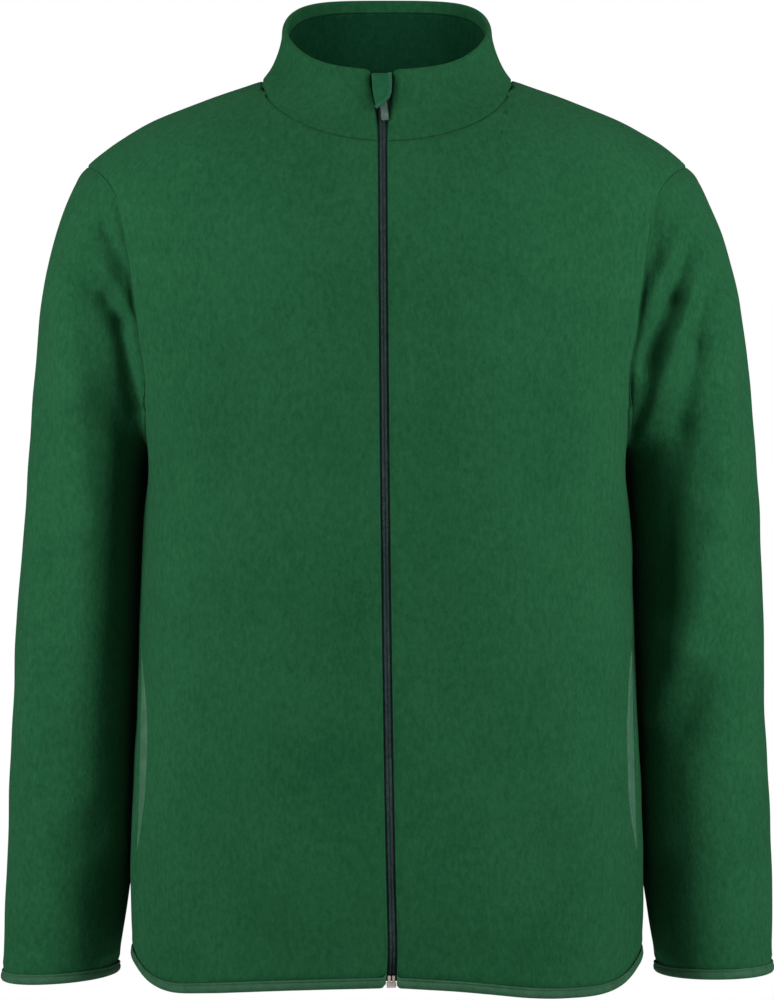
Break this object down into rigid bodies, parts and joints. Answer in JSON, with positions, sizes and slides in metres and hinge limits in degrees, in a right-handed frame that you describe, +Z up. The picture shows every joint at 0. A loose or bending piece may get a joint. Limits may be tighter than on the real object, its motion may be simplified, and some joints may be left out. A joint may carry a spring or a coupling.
{
  "type": "zip fleece jacket",
  "caption": "Long-sleeved fleece jacket with a stand-up collar, full front zip, side-seam pockets and bound hem and cuffs, filled out as worn.",
  "frame": {"origin": "middle of the neck, level with the neck ends of the shoulder seams", "axes": "+Z up, +Y towards the back, +X towards the wearer's left, so the front faces -Y"},
  "size_m": [0.6094, 0.2638, 0.7866],
  "materials": {
    "fleece": "soft brushed pile",
    "binding": "smooth stretch knit",
    "pocket_cloth": "thin knit",
    "zip_tape": "woven tape",
    "zip_coil": "satin",
    "zip_metal": "satin",
    "zip_pull": "satin",
    "garage": "smooth knit with a slight shine"
  },
  "bodies": {
    "jacket": {"front_left": "fleece", "front_right": "fleece", "back": "fleece", "sleeve_left": "fleece", "sleeve_right": "fleece", "collar_outer": "fleece", "collar_facing": "fleece", "hem_binding": "binding", "cuff_binding_left": "binding", "cuff_binding_right": "binding", "pocket_welt_left": "binding", "pocket_welt_right": "binding", "pocket_bag_left": "pocket_cloth", "pocket_bag_right": "pocket_cloth", "zip_tape_left": "zip_tape", "zip_tape_right": "zip_tape", "zip_coil_left": "zip_coil", "zip_coil_right": "zip_coil", "zip_slider": "zip_metal", "zip_box": "zip_metal", "zip_pin": "zip_metal", "zip_garage": "garage"},
    "zip_pull": {"zip_pull": "zip_pull"}
  },
  "joints": [
    {"name": "pull_hinge", "type": "hinge", "parent": "jacket", "child": "zip_pull", "pos_m": [-0.00353, -0.0889, -0.01898], "axis": [-0.9997, 0.0258, -0.0055], "range_deg": [0, 14]}
  ]
}
